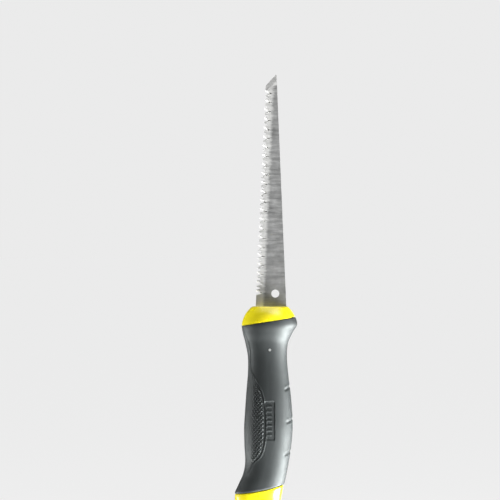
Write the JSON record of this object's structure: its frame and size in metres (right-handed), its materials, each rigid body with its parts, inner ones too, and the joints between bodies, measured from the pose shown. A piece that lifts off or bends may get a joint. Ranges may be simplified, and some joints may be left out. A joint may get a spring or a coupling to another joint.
{
  "type": "drywall saw",
  "caption": "Fixed-blade drywall jab saw: pointed tapered blade with ground teeth, slanted nose collar, curved two-tone soft grip with textured side pads and a butt cap.",
  "frame": {"origin": "middle of the outline at the butt's lowest point", "axes": "+Z from the butt to the blade's point; the teeth face -X and the spine +X; the blade's broad faces look along -Y and +Y"},
  "size_m": [0.0441, 0.0312, 0.309],
  "materials": {
    "blade_steel": "ground and brushed across the blade",
    "yellow_plastic": "moulded, semi-gloss",
    "core_plastic": "moulded, unfinished inside",
    "pin_steel": "plain",
    "soft_grip": "satin, very fine grain",
    "pad_rubber": "diamond knurl"
  },
  "bodies": {
    "root": {"blade": "blade_steel", "nose_collar": "yellow_plastic", "core_left": "core_plastic", "core_right": "core_plastic", "front_pin": "pin_steel", "tang_pins": "pin_steel", "grip_sleeve": "soft_grip", "grip_pad_left": "pad_rubber", "grip_pad_right": "pad_rubber", "butt_cap": "yellow_plastic"}
  },
  "joints": []
}
